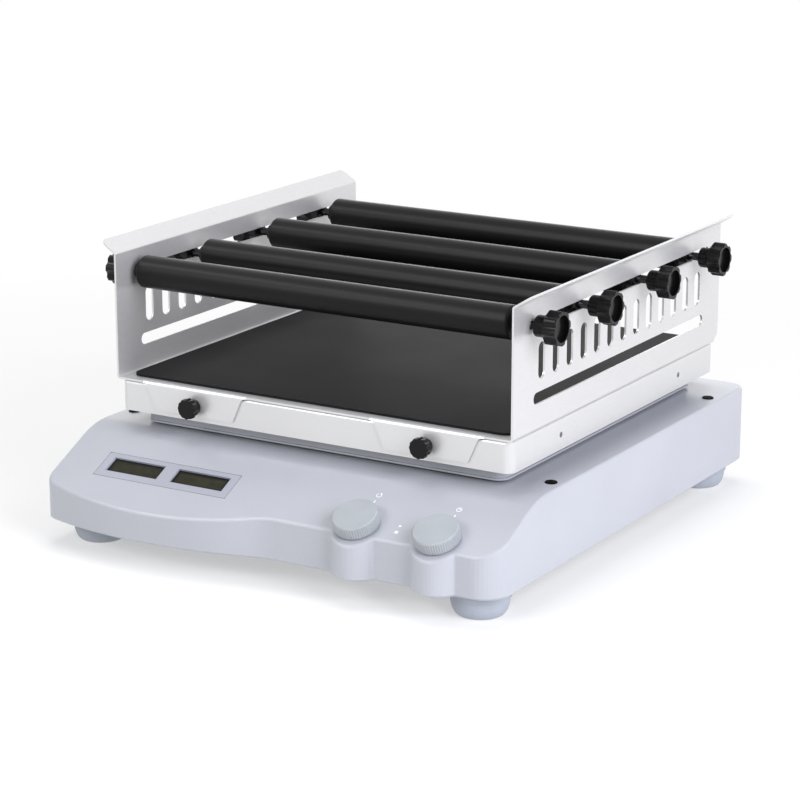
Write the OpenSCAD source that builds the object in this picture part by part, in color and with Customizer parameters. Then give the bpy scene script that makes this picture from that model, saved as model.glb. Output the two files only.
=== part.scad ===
// Orbital flask shaker: a moulded base with an eccentric drive, and a bent sheet carrier with clamp rollers.
// Millimetres. The origin is on the bench, under the middle of the base. The control panel faces -Y.

/* [Base housing] */
// Width of the base from side to side
base_w = 371; // [360:1:385]
// Depth of the base from the front bulge to the rear face
base_d = 417; // [405:1:430]
// Height of the flat deck above the bench
deck_z = 76.5; // [74:0.5:79]
// Wall of the moulded housing
wall = 3; // [2.5:0.1:3.4]
// Slope of the control panel in degrees
panel_angle = 26; // [22:1:28]
// Depth of the sloped panel, from the foremost point of the front to the deck
panel_d = 73.5; // [70:0.5:78]
// Radius of the soft bend between the deck and the panel
bend_r = 60; // [40:5:80]
// Radius along the top edges of the housing
edge_r = 2; // [1.5:0.5:4]
// Radius of the small break along the bottom edge
rim_r = 1.5; // [1:0.1:2]
// Corner radius at the rear, seen from above
rear_corner_r = 15; // [12:1:20]
// Corner radius at the front right, seen from above
front_corner_r = 20; // [14:1:22]
// Corner radius at the front left, seen from above
bulge_corner_r = 12; // [10:1:16]
// Radius of the long bulge under the display
bulge_r = 297; // [285:1:320]
// Distance of the bulge's foremost point to the left of the middle
bulge_x = 95; // [85:1:105]
// How far the bulge stands in front of the straight front
bulge_proud = 16.2; // [14:0.2:18]
// Radius of the hollow where the bulge meets the straight front
bulge_blend_r = 60; // [30:5:70]
// Radius of each knob boss on the front
boss_r = 19.2; // [18:0.2:20]
// How far each knob boss stands in front of the straight front
boss_proud = 10.6; // [9:0.2:12]
// Radius of the fillet beside each boss
boss_fillet_r = 2; // [1:0.5:4]
// Diameter of the black plugs on the deck
plug_d = 9; // [7.6:0.2:10]
// Distance of the plugs from the sides
plug_inset = 10; // [9:0.5:13]
// Distance of the front plugs in front of the crank axis
plug_front = 134; // [125:1:138]
// Distance of the rear plugs behind the crank axis
plug_rear = 120; // [110:1:130]

/* [Feet and base plate] */
// Height of the rubber feet
foot_h = 18.5; // [15:0.5:22]
// Diameter of the feet at the top
foot_d = 43; // [36:1:46]
// Diameter of the feet on the bench
foot_tip_d = 29; // [26:1:32]
// Distance of the feet from the sides
foot_inset = 27.5; // [26:0.5:36]
// Distance of the rear feet from the rear face
foot_rear_inset = 28.5; // [26:0.5:36]
// Distance between the front and rear feet
foot_span_y = 344.5; // [336:0.5:348]
// Thickness of the steel base plate
plate_t = 3; // [2:0.5:4]

/* [Display] */
// Width of the display bezel
bezel_w = 114; // [110:1:118]
// Height of the display bezel along the panel
bezel_h = 24.2; // [22:0.2:25]
// Distance of the bezel's middle to the left of the middle
bezel_x = 93.9; // [90:0.1:97]
// Distance of the bezel's middle behind the foremost point of the front
bezel_y = 37; // [35:0.5:39]
// Width of each display window
window_w = 44.8; // [42:0.2:46]
// Height of each display window
window_h = 14.2; // [13:0.2:15]
// Distance between the middles of the two windows
window_pitch = 56.2; // [54:0.2:58]
// How far the windows' middles lie above the bezel's middle, along the panel
window_rise = 1; // [0:0.1:2]

/* [Control knobs] */
// Diameter of the control knobs
knob_d = 32.4; // [28:0.2:34]
// Height of the control knobs
knob_h = 9; // [8:0.5:12]
// Distance of the speed knob to the right of the middle
knob_x = 73.4; // [70:0.2:76]
// Distance between the two control knobs
knob_pitch = 63; // [60:0.5:64]
// Travel of the time knob when it is pressed
press_travel = 1; // [0.5:0.1:1.2]
// Number of grip ribs around a control knob
knob_ribs = 60; // [40:1:72]
// Diameter of the control knobs' shafts
dial_shaft_d = 6; // [5:0.5:7]

/* [Orbital drive] */
// Radius of the table's orbit
orbit_r = 5; // [4:0.5:6]
// Distance of the crank axis from the rear face
crank_rear = 173; // [170:1:176]
// Diameter of the crankshaft
shaft_d = 17; // [15:1:18]
// Diameter of the ball bearings on the crankshaft
bearing_d = 35; // [32:1:38]
// Height of each ball bearing
bearing_h = 10; // [8:0.5:10.5]
// Diameter of the driven pulley
pulley_d = 120; // [110:1:126]
// Diameter of the motor's pulley
motor_pulley_d = 32; // [28:1:36]
// Height of both pulleys
pulley_h = 8; // [7:0.5:8.5]
// Distance from the crank to the motor
motor_offset = 110; // [106:1:114]
// Diameter of the motor
motor_d = 58; // [50:1:60]
// Distance of the four guide cranks from the crank axis, along X and along Y
guide_offset = 105; // [102:1:108]
// Diameter of the guide cranks' journals and pins
guide_d = 10; // [8:0.5:12]

/* [Table and platform] */
// Width of the platform
platform_w = 325; // [318:1:328]
// Depth of the platform
platform_d = 324; // [318:1:328]
// Height of the platform's top above the bench
platform_z = 111.2; // [109:0.1:114]
// Height of the platform's skirt
skirt_h = 22.9; // [20:0.1:24]
// Radius of the bend between the platform's top and its skirt
platform_edge_r = 3.4; // [2.5:0.1:4]
// Corner radius of the platform, seen from above
platform_corner_r = 7; // [5:0.5:9]
// Thickness of the folded sheets
sheet_t = 1.5; // [1.2:0.1:1.8]
// How far the moulded tray stands in from the platform
tray_inset = 12; // [9:0.5:16]
// Corner radius of the tray
tray_corner_r = 9; // [6:0.5:12]
// Running gap between the tray's lip and the deck
tray_gap = 1.8; // [1.5:0.1:3]
// Distance between the two threaded holes on each free side of the skirt
side_hole_pitch = 189; // [180:1:195]
// Diameter of the threaded holes on the free sides
side_hole_d = 4.2; // [3.3:0.1:5]

/* [Carrier] */
// Height of the carrier's side walls above the platform
carrier_h = 94.3; // [90:0.1:98]
// How far the tilted top flanges reach outwards
flange_out = 12.2; // [8:0.2:14]
// How far the tilted top flanges rise
flange_up = 7.3; // [5:0.1:9]
// Number of upright slots in each side wall
slot_count = 13; // [9:1:13]
// Distance between the upright slots
slot_pitch = 20.65; // [18:0.05:21]
// Width of the upright slots
slot_w = 9.5; // [7:0.5:10]
// Length of the upright slots
slot_h = 26; // [20:1:27]
// Height of the upright slots' middles above the platform
slot_z = 49; // [48:0.5:50]
// Length of the low slot
low_slot_l = 270; // [240:1:280]
// Height of the low slot
low_slot_h = 8.4; // [6:0.2:9]
// Height of the low slot's middle above the platform
low_slot_z = 23.3; // [20:0.1:26]
// Length of the roller slot
roller_slot_l = 284; // [280:1:290]
// Width of each screw tab where it leaves the floor
tab_top_w = 83; // [78:1:90]
// Width of each screw tab at its foot
tab_low_w = 66; // [60:1:72]
// Thickness of the rubber mat
mat_t = 1.8; // [1.5:0.1:3]

/* [Clamp rollers] */
// Height of the rollers' axes above the platform
roller_z = 75.8; // [74:0.1:77]
// Diameter of the foam sleeves
roller_d = 24; // [20:0.5:25]
// Free play of a roller between the carrier's walls, at each end
roller_play = 4.3; // [3:0.1:6]
// Diameter of the rollers' threaded rods
rod_d = 6; // [5:0.5:6]
// Diameter of a star knob over its lobes
star_d = 25; // [22:0.5:26]
// Length of a star knob
star_l = 19.5; // [18.5:0.5:21]
// Number of lobes on a star knob
star_lobes = 8; // [6:1:10]
// How far the loosest star knob on the right stands off the wall
knob_slack = 6.9; // [0:0.1:8]
// Diameter of a thumb screw's head
thumb_d = 15.2; // [13:0.2:17]
// Length of a thumb screw's head
thumb_l = 9.6; // [8:0.2:11]
// Distance between the two thumb screws of a side
thumb_pitch = 193; // [186:1:198]

/* [Hidden] */

$fn = 48;
// Overrun of every cut past the face that it opens
over = 1;
// Gap around fixed pieces that are assembled together
seat_gap = 0.02;
// Gap between pieces that slide or turn on each other
run_gap = 0.05;
// Clear gap beside pieces that move
move_gap = 0.3;

// Places of the base
front_y = -base_d / 2;
rear_y = base_d / 2;
half_w = base_w / 2;
base_z = foot_h;
plate_top = base_z + plate_t;
deck_under = deck_z - wall;
panel_y = front_y + panel_d;
flat_y = front_y + bulge_proud;
boss_y = flat_y - boss_proud + boss_r;
crank_y = rear_y - crank_rear;
knob_xs = [knob_x, knob_x + knob_pitch];

// Height of the housing's top surface at a place along Y, lowered by a thickness
bend_run = bend_r * tan(panel_angle / 2);
bend_back = panel_y + bend_run;
bend_front = panel_y - bend_run * cos(panel_angle);
function top_z(y, t = 0) =
    y >= bend_back ? deck_z - t
    : y <= bend_front ? deck_z + (y - panel_y) * tan(panel_angle) - t / cos(panel_angle)
    : deck_z - bend_r + sqrt(pow(bend_r - t, 2) - pow(bend_back - y, 2));
bend_steps = 8;
bend_levels = [for (k = [0 : bend_steps]) bend_back - bend_r * sin(panel_angle * k / bend_steps)];

// Points of an arc in n steps. skip and cut leave out points at its start and end, where arcs meet.
function arc(c, r, a0, a1, n, skip = 0, cut = 0) =
    [for (k = [skip : n - cut]) let (a = a0 + (a1 - a0) * k / n) [c[0] + r * cos(a), c[1] + r * sin(a)]];
function reversed(list) = [for (i = [len(list) - 1 : -1 : 0]) list[i]];
function mirrored(points) = [for (p = reversed(points)) [-p[0], p[1]]];

// Outline of the housing from above, drawn in by d, anticlockwise from the front left corner
bulge_c = [-bulge_x, front_y + bulge_r];
left_lean = asin((half_w - bulge_x - bulge_corner_r) / (bulge_r - bulge_corner_r));
left_c = [bulge_corner_r - half_w, bulge_c[1] - (bulge_r - bulge_corner_r) * cos(left_lean)];
right_lean = acos((bulge_c[1] - flat_y + bulge_blend_r) / (bulge_r + bulge_blend_r));
blend_c = [bulge_c[0] + (bulge_r + bulge_blend_r) * sin(right_lean), flat_y - bulge_blend_r];
fillet_y = flat_y - boss_fillet_r;
fillet_dx = sqrt(pow(boss_r + boss_fillet_r, 2) - pow(boss_y - fillet_y, 2));
fillet_a = atan2(boss_y - fillet_y, fillet_dx);
function boss_points(x, d) = concat(
    arc([x - fillet_dx, fillet_y], boss_fillet_r + d, 90, fillet_a, 4),
    arc([x, boss_y], boss_r - d, 180 + fillet_a, 360 - fillet_a, 16, 1, 1),
    arc([x + fillet_dx, fillet_y], boss_fillet_r + d, 180 - fillet_a, 90, 4));
function front_points(d) = concat(
    arc(left_c, bulge_corner_r - d, 180, 270 - left_lean, 10),
    arc(bulge_c, bulge_r - d, 270 - left_lean, 270, 10, 1),
    arc(bulge_c, bulge_r - d, 270, 270 + right_lean, 10, 1, 1),
    arc(blend_c, bulge_blend_r + d, 90 + right_lean, 90, 7),
    boss_points(knob_xs[0], d),
    boss_points(knob_xs[1], d),
    arc([half_w - front_corner_r, flat_y + front_corner_r], front_corner_r - d, 270, 360, 10));
rear_steps = 8;
function outline(d) = concat(
    front_points(d),
    [for (y = reversed(bend_levels)) [half_w - d, y]],
    arc([half_w - rear_corner_r, rear_y - rear_corner_r], rear_corner_r - d, 0, 90, rear_steps),
    arc([rear_corner_r - half_w, rear_y - rear_corner_r], rear_corner_r - d, 90, 180, rear_steps),
    [for (y = bend_levels) [d - half_w, y]]);
front_n = len(front_points(0));
ring_n = len(outline(0));

// Places on the sloped panel
module on_panel(x, y) {
    translate([x, y, top_z(y)]) rotate([panel_angle, 0, 0]) children();
}
bezel_cy = front_y + bezel_y;
knob_y = boss_y;

// Deck posts, each with a screw at its foot and a plug in its mouth
post_d = 12;
post_seat = 12;
post_screw_d = 3;
post_screw_head_d = 5.5;
post_screw_head_h = 3;
post_socket_d = 2.2;
plug_stem_d = 6.2;
plug_stem_l = 6;
plug_cap_h = 0.8;
plug_places = [for (x = [-1, 1], y = [crank_y - plug_front, crank_y + plug_rear])
    [x * (half_w - plug_inset), y]];

// Feet and their screws
foot_band_h = 5.5;
foot_step = 1;
foot_screw_d = 5;
foot_screw_head_d = 10;
foot_screw_head_h = 3;
foot_recess_d = 12;
foot_recess_h = 6;
foot_screw_past = 1;
foot_back_y = rear_y - foot_rear_inset;
foot_places = [for (x = [-1, 1], y = [foot_back_y - foot_span_y, foot_back_y])
    [x * (half_w - foot_inset), y]];
vent_l = 40;
vent_w = 4;
vent_pitch = 10;
vent_count = 7;

// Rear recess with the mains inlet and the rocker switch
recess_w = 84;
recess_h = 34;
recess_deep = 4;
recess_x = 112;
recess_z = (base_z + deck_z) / 2;
recess_y = rear_y - recess_deep;
inlet_side = 17;
inlet_x = recess_x + inlet_side;
switch_side = 21;
switch_x = recess_x - switch_side;
inlet_body = [27.6, 20.6];
inlet_flange = [31, 25];
inlet_flange_t = 2;
inlet_l = 24;
socket = [24.2, 16.6];
socket_deep = 16;
socket_bevel = 5;
inlet_pin = [2, 4];
inlet_pin_l = 14;
inlet_pin_pitch = 7;
inlet_pin_drop = 3;
switch_body = [19, 12.8];
switch_flange = [22, 15.4];
switch_flange_t = 1.6;
switch_l = 16;
switch_cup = 8;
rocker_w = 14;
rocker_swing = 2;
rocker_d = 10;
rocker_h = 4.4;
rocker_dip = 1;
rocker_keel = 3;
rocker_tilt = 9;
rocker_pivot = -2;

// Power supply board
supply = [80, 52];
supply_back = 30;
supply_stand_d = 6;
supply_stand_h = 6;
supply_block = [24, 22, 17];
supply_can_d = 12;
supply_can_h = 18;
supply_fin = [34, 3, 20];
supply_block_share = [0.1, 0.2];
supply_can_shares = [[0.6, 0.27], [0.8, 0.27]];
supply_fin_share = [0.5, 0.5];

// Boards behind the panel
bezel_t = 2;
bezel_ledge = 2.5;
bezel_corner_r = 1;
window_t = 1.2;
window_lap = 1;
glass_drop = 1.6;
board_drop = 13;
board_t = 1.6;
board_up = 22;
board_down = 9;
board_end = 14;
board_under_bezel = 53;
standoff_d = 5;
standoff_shares = [0.42, 0.6, 0.86, 0.98];
display_t = board_drop - glass_drop - window_t;
encoder_w = 12;
encoder_h = 6.5;
encoder_rotor_d = 9;
encoder_rotor_h = 4;
shaft_hole_gap = 1;
shaft_past = 0.5;
rib_depth = 0.5;
knob_bevel = 1;
knob_float = 0.2;
knob_lift = press_travel + knob_float;

// Drive levels, upwards from the base plate
bearing_wall = 5;
bearing_shoulder = 3;
bearing_floor = 3;
bearing_space = 4;
bearing_flange_w = 22;
bearing_flange_t = 5;
bearing_bolt_d = 5.5;
bearing_bolt_in = 7;
bearing_groove = 0.6;
race_share = 0.3;
lower_bearing_z = plate_top + bearing_floor;
upper_bearing_z = lower_bearing_z + bearing_h + bearing_space;
bearing_top = upper_bearing_z + bearing_h;
shaft_foot = 1;
pulley_z = bearing_top + move_gap;
belt_t = 2.5;
belt_rim = 1;
belt_gap = 0.1;
belt_h = pulley_h - 2 * belt_rim;
pulley_hub_wall = 8;
pulley_recess = 2;
pulley_rim_w = 5;
pulley_hole_d = 17;
pulley_hole_r = 33.5;
weight_h = 7;
weight_z = pulley_z + pulley_h;
weight_inset = 4;
weight_cut = 4;
crank_head_z = weight_z + weight_h + move_gap;
crank_head_wall = 2;
crank_head_d = shaft_d + 2 * orbit_r + 2 * crank_head_wall;
deck_hole_gap = 7;
collar_wall = 2.5;
motor_x = -motor_offset;
motor_flange_w = 7;
motor_flange_t = 3;
motor_neck_d = 24;
motor_neck_h = 2;
motor_clear = 4;
motor_top = pulley_z - motor_clear;
motor_shaft_d = 8;
motor_bore_z = 4;

// Guide cranks
guide_wall = 7;
guide_flange_w = 6;
guide_flange_t = 4;
guide_drop = 13;
guide_barrel_top = deck_under - guide_drop;
guide_head_z = guide_barrel_top + move_gap;
guide_head_h = 7;
guide_head_wall = 3;
guide_hole_gap = 5;
guide_places = [for (x = [-1, 1], y = [-1, 1]) [x * guide_offset, crank_y + y * guide_offset]];

// Table: its middle stands at the front of its orbit
table_y = crank_y - orbit_r;
table_under = platform_z - sheet_t;
tray_w = platform_w - 2 * tray_inset;
tray_d = platform_d - 2 * tray_inset;
tray_t = 3;
tray_z = deck_z + tray_gap;
lip_h = 1.4;
lip_out = 1;
alloy_t = 5;
alloy_inset = 10;
alloy_corner_r = 12;
table_plate_z = table_under - tray_t - alloy_t;
hub_wall = 5;
hub_lift = 5.5;
hub_z = deck_z + hub_lift;
hub_relief = 2;
hub_lip = 1.5;
table_bearing_z = hub_z + hub_lip;
pin_past = 2;
pin_top = table_bearing_z + bearing_h + pin_past;
guide_hub_wall = 7;
guide_pin_short = 4;
guide_pin_top = table_plate_z - guide_pin_short;
table_screw_d = 5;
table_screw_head_d = 10;
table_screw_gap = 0.2;
table_screw_inset = 42;
table_screws = [for (x = [-1, 1], y = [-1, 1])
    [x * (tray_w / 2 - table_screw_inset), table_y + y * (tray_d / 2 - table_screw_inset)]];

// Platform skirt: holes and thumb screws, measured down from the platform's top
skirt_z = platform_z - skirt_h;
side_hole_drop = 12.3;
side_hole_back = 4.2;
side_hole_z = platform_z - side_hole_drop;
side_hole_y = table_y + side_hole_back;
thumb_drop = 11.7;
thumb_z = platform_z - thumb_drop;
thumb_shank_d = 4;
thumb_shank_l = 9;
thumb_collar_d = 12;
thumb_collar_l = 4.4;
thumb_bevel = 0.7;
thumb_flute = 0.8;
thumb_flutes = 12;
thumb_hole_gap = 0.3;

// Carrier sheet
carrier_side_gap = 0.3;
carrier_end_gap = 0.2;
carrier_w = platform_w + 2 * sheet_t + 2 * carrier_side_gap;
carrier_d = platform_d + 2 * sheet_t + 2 * carrier_end_gap;
wall_in = carrier_w / 2 - sheet_t;
fold_r = 2.5;
flange_fold_r = 2.2;
flange_corner_r = 6;
wall_corner_r = 5;
carrier_top = platform_z + carrier_h;
tab_rise = 3.6;
tab_z = skirt_z + tab_rise;
tab_corner_r = 4;
tab_foot_r = 2;
mat_inset = 6.8;
mat_end_inset = 8.5;
mat_corner_r = 8;

// Rollers: places as shares of the roller slot's length, from its middle
roller_shares = [-0.4806, -0.2289, 0.0933, 0.4085];
rollers_z = platform_z + roller_z;
cap_t = 3.5;
cap_r = 2.5;
nut_t = 3;
nut_d = 11.4;
washer_t = 1.5;
washer_d = 12;
roller_end = cap_t + nut_t + washer_t + roller_play;
roller_l = 2 * (wall_in - roller_end);
// How each roller stands within its play, and how far its right knob stands off, as shares of both
roller_shift_shares = [-0.88, 0.74, 0.74, 0.53];
knob_slack_shares = [0.33, 0.97, 1, 0.86];
star_start = carrier_w / 2 + move_gap;
star_neck_d = 15;
star_neck_l = 7.5;
star_neck_r = 1.5;
star_groove_r = 0.7;
star_grooves = 3;
star_flare = 3;
star_scallop = 2.2;
star_bevel = 0.8;
star_cup_d = 18.6;
star_cup = 3.5;
star_bore_l = 13.5;
star_turns = [52, 0, 8, -4];
function roller_y(i) = table_y + roller_slot_l * roller_shares[i];

// Shared small shapes
module ring(d_out, d_in, h) {
    difference() {
        cylinder(d = d_out, h = h);
        translate([0, 0, -over]) cylinder(d = d_in, h = h + 2 * over);
    }
}
module round_rect(w, d, r) {
    polygon(concat(
        arc([w / 2 - r, d / 2 - r], r, 0, 90, 6), arc([r - w / 2, d / 2 - r], r, 90, 180, 6),
        arc([r - w / 2, r - d / 2], r, 180, 270, 6), arc([w / 2 - r, r - d / 2], r, 270, 360, 6)));
}
module slot_2d(l, h) {
    translate([-(l - h) / 2, 0]) circle(d = h);
    translate([(l - h) / 2, 0]) circle(d = h);
    square([l - h, h], center = true);
}
module lobed(r, depth, lobes, per_lobe) {
    n = lobes * per_lobe;
    polygon([for (k = [0 : n - 1]) let (a = 360 * k / n, q = r - depth * (1 - cos(lobes * a)) / 2)
        [q * cos(a), q * sin(a)]]);
}
module block(size) {
    translate([-size[0] / 2, -size[1] / 2, 0]) cube(size);
}
module at_rear(x) {
    translate([x, recess_y, recess_z]) rotate([-90, 0, 0]) children();
}

// Housing: one moulded shell with a sloped panel, a long bulge and two knob bosses
fillet_steps = 5;
ring_insets = concat([rim_r, 0], [for (k = [0 : fillet_steps]) edge_r * (1 - cos(90 * k / fillet_steps))]);
function ring_z(k, y) =
    k == 0 ? base_z
    : k == 1 ? base_z + rim_r
    : top_z(y) - edge_r * (1 - sin(90 * (k - 2) / fillet_steps));

// A cap's strips run from the wavy front to a straight row of points, in order along X
row_y = (bend_front + flat_y + front_corner_r) / 2;
row_n = front_n - 2;
function row_points(d, z) = [for (p = [for (i = [1 : row_n]) outline(d)[i]]) [p[0], row_y, z]];
function turned(faces, up) = up ? [for (f = faces) reversed(f)] : faces;
function front_strips(ring, row, up) = turned(concat(
    [[ring, ring + 1, row, ring + ring_n - 1]],
    [for (i = [1 : row_n - 1]) [ring + i, ring + i + 1, row + i, row + i - 1]],
    [[ring + row_n, ring + row_n + 1, ring + row_n + 2, row + row_n - 1]]), up);
module outer_shape() {
    rings = len(ring_insets);
    points = concat(
        [for (k = [0 : rings - 1]) for (p = outline(ring_insets[k])) [p[0], p[1], ring_z(k, p[1])]],
        row_points(ring_insets[0], base_z),
        row_points(ring_insets[rings - 1], top_z(row_y)));
    top = (rings - 1) * ring_n;
    last = top + ring_n - 1;
    low_row = rings * ring_n;
    high_row = low_row + row_n;
    rear = front_n + bend_steps + rear_steps / 2 + 1;
    polyhedron(points = points, convexity = 6, faces = concat(
        front_strips(0, low_row, false),
        [[for (i = [rear : ring_n - 1]) i, for (i = [0 : row_n - 1]) low_row + i,
            for (i = [front_n : rear - 1]) i]],
        [for (k = [0 : rings - 2]) for (i = [0 : ring_n - 1]) let (j = (i + 1) % ring_n, a = k * ring_n)
            [a + j, a + i, a + ring_n + i]],
        [for (k = [0 : rings - 2]) for (i = [0 : ring_n - 1]) let (j = (i + 1) % ring_n, a = k * ring_n)
            [a + j, a + ring_n + i, a + ring_n + j]],
        front_strips(top, high_row, true),
        [[last, top + front_n, for (i = [row_n - 1 : -1 : 0]) high_row + i]],
        [for (k = [0 : bend_steps - 1])
            [last - k, last - k - 1, top + front_n + k + 1, top + front_n + k]],
        [[for (i = [ring_n - 1 - bend_steps : -1 : front_n + bend_steps]) top + i]]));
}
module inner_shape() {
    intersection() {
        translate([0, 0, base_z - over]) linear_extrude(height = deck_z) polygon(outline(wall));
        rotate([90, 0, 90]) translate([0, 0, -half_w]) linear_extrude(height = base_w) polygon(concat(
            [[rear_y, base_z - over], [rear_y, deck_under]],
            [for (y = bend_levels) [y, top_z(y, wall)]],
            [[front_y, top_z(front_y, wall)], [front_y, base_z - over]]));
    }
}
module rear_pocket() {
    intersection() {
        at_rear(recess_x) translate([0, 0, -wall])
            block([recess_w + 2 * wall, recess_h + 2 * wall, 2 * recess_deep]);
        translate([-half_w, front_y, base_z]) cube([base_w, base_d - wall / 2, deck_under - base_z]);
    }
}
module standoffs() {
    board_w = board_left + board_right;
    for (share = standoff_shares) on_panel(board_w * share - board_left, knob_y)
        translate([0, board_up - standoff_d, -board_drop])
            cylinder(d = standoff_d, h = board_drop - wall / 2);
}
module housing() {
    color("#c9ced8") difference() {
        union() {
            difference() {
                outer_shape();
                inner_shape();
            }
            rear_pocket();
            for (p = plug_places) translate([p[0], p[1], plate_top])
                cylinder(d = post_d, h = deck_under - plate_top + wall / 2);
            standoffs();
        }
        at_rear(recess_x) block([recess_w, recess_h, recess_deep + over]);
        at_rear(inlet_x) translate([0, 0, -wall - over])
            block([inlet_body[0], inlet_body[1], wall + 2 * over]);
        at_rear(switch_x) translate([0, 0, -wall - over])
            block([switch_body[0], switch_body[1], wall + 2 * over]);
        for (p = plug_places) translate([p[0], p[1], 0]) {
            translate([0, 0, plate_top - over]) cylinder(d = post_screw_d + 2 * seat_gap, h = deck_z);
            translate([0, 0, plate_top + post_seat]) cylinder(d = plug_stem_d + 2 * seat_gap, h = deck_z);
        }
        translate([0, crank_y, deck_under - over])
            cylinder(d = crank_head_d + 2 * deck_hole_gap, h = wall + 2 * over);
        for (p = guide_places) translate([p[0], p[1], deck_under - over])
            cylinder(d = guide_d + 2 * orbit_r + 2 * guide_hole_gap, h = wall + 2 * over);
        on_panel(-bezel_x, bezel_cy) {
            translate([0, 0, -bezel_t])
                block([bezel_w + 2 * move_gap, bezel_h + 2 * move_gap, bezel_t + over]);
            translate([0, 0, -2 * wall])
                block([bezel_w - 2 * bezel_ledge, bezel_h - 2 * bezel_ledge, 2 * wall + over]);
        }
        for (x = knob_xs) on_panel(x, knob_y) translate([0, 0, -2 * wall])
            cylinder(d = dial_shaft_d + 2 * shaft_hole_gap, h = 3 * wall);
    }
}

// Base plate, feet and their screws
module base_plate() {
    vent_y = crank_y - motor_d / 2 - vent_pitch * vent_count;
    color("#9a9ea3") difference() {
        translate([0, 0, base_z]) linear_extrude(height = plate_t) polygon(outline(wall + move_gap));
        for (p = plug_places) translate([p[0], p[1], base_z - over])
            cylinder(d = post_screw_d + 2 * seat_gap, h = plate_t + 2 * over);
        for (p = foot_places) translate([p[0], p[1], base_z - over])
            cylinder(d = foot_screw_d + 2 * seat_gap, h = plate_t + 2 * over);
        for (k = [0 : vent_count - 1]) translate([motor_x, vent_y + k * vent_pitch, base_z - over])
            linear_extrude(height = plate_t + 2 * over) slot_2d(vent_l, vent_w);
    }
}
module foot_profile() {
    r = foot_d / 2;
    tip = foot_tip_d / 2;
    band_z = foot_h - foot_band_h;
    polygon(concat(
        [[foot_screw_d / 2, foot_h], [r, foot_h], [r, band_z]],
        [for (k = [0 : 8]) let (a = 90 * k / 8)
            [tip + (r - foot_step - tip) * cos(a), band_z * (1 - sin(a))]],
        [[foot_recess_d / 2, 0], [foot_recess_d / 2, foot_recess_h], [foot_screw_d / 2, foot_recess_h]]));
}
module feet() {
    color("#6f7680") for (p = foot_places) translate([p[0], p[1], 0]) rotate_extrude() foot_profile();
}
module foot_screws() {
    color("#b4b7ba") for (p = foot_places) translate([p[0], p[1], foot_recess_h]) {
        translate([0, 0, -foot_screw_head_h]) cylinder(d = foot_screw_head_d, h = foot_screw_head_h);
        translate([0, 0, -foot_screw_head_h / 2])
            cylinder(d = foot_screw_d - 2 * seat_gap,
                h = plate_top - foot_recess_h + foot_screw_head_h / 2 + foot_screw_past);
    }
}
module deck_plugs() {
    r = plug_d / 2;
    color("#1c1e22") for (p = plug_places) translate([p[0], p[1], deck_z]) {
        translate([0, 0, -plug_stem_l]) cylinder(d = plug_stem_d, h = plug_stem_l);
        rotate_extrude() polygon([[0, 0], [r, 0], [r - plug_cap_h / 2, plug_cap_h], [0, plug_cap_h]]);
    }
}
module housing_screws() {
    color("#b4b7ba") for (p = plug_places) translate([p[0], p[1], 0]) {
        translate([0, 0, plate_top + post_seat]) difference() {
            cylinder(d = post_screw_head_d, h = post_screw_head_h);
            translate([0, 0, post_screw_head_h / 2])
                cylinder(d = post_socket_d, h = post_screw_head_h, $fn = 6);
        }
        translate([0, 0, base_z]) cylinder(d = post_screw_d, h = plate_t + post_seat);
    }
}

// Display bezel, windows, boards and encoders
module at_windows(z) {
    on_panel(-bezel_x, bezel_cy) for (s = [-1, 1])
        translate([s * window_pitch / 2, window_rise, z]) children();
}
module lcd_bezel() {
    frame_t = bezel_t + window_t;
    lap = [window_w + 2 * window_lap, window_h + 2 * window_lap];
    color("#d3d7e0") difference() {
        on_panel(-bezel_x, bezel_cy) {
            translate([0, 0, -bezel_t]) linear_extrude(height = bezel_t)
                round_rect(bezel_w, bezel_h, bezel_corner_r);
            translate([0, 0, -frame_t]) block([bezel_w - 2 * bezel_ledge - 2 * move_gap,
                bezel_h - 2 * bezel_ledge - 2 * move_gap, frame_t - bezel_t / 2]);
        }
        at_windows(-2 * frame_t) block([window_w, window_h, 3 * frame_t]);
        at_windows(-glass_drop - 2 * frame_t) block([lap[0], lap[1], 2 * frame_t]);
    }
}
module lcd_windows() {
    color("#4a4a3a") at_windows(-glass_drop - window_t) block([window_w + 2 * window_lap - 2 * seat_gap,
        window_h + 2 * window_lap - 2 * seat_gap, window_t]);
}
board_left = bezel_x + board_under_bezel;
board_right = knob_xs[1] + board_end;
module control_board() {
    color("#2f6b45") on_panel(0, knob_y) difference() {
        translate([-board_left, -board_down, -board_drop - board_t])
            cube([board_left + board_right, board_up + board_down, board_t]);
        for (x = knob_xs) translate([x, 0, -board_drop - board_t - over])
            cylinder(d = dial_shaft_d + 2 * shaft_hole_gap, h = board_t + 2 * over);
    }
}
module display_modules() {
    color("#30343a") at_windows(-board_drop) block([window_w, window_h, display_t]);
}
module encoder_bodies() {
    color("#8b8f94") for (x = knob_xs) on_panel(x, knob_y) translate([0, 0, -board_drop]) difference() {
        block([encoder_w, encoder_w, encoder_h]);
        translate([0, 0, encoder_h - encoder_rotor_h - 2 * run_gap])
            cylinder(d = encoder_rotor_d + 2 * run_gap, h = encoder_rotor_h + over);
        translate([0, 0, -over]) cylinder(d = dial_shaft_d + 2 * shaft_past, h = encoder_h + over);
    }
}
module encoder_rotor(x, gap) {
    color("#c9a45a") on_panel(x, knob_y) translate([0, 0, encoder_h - encoder_rotor_h - board_drop])
        ring(encoder_rotor_d, dial_shaft_d + 2 * gap, encoder_rotor_h);
}
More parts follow.
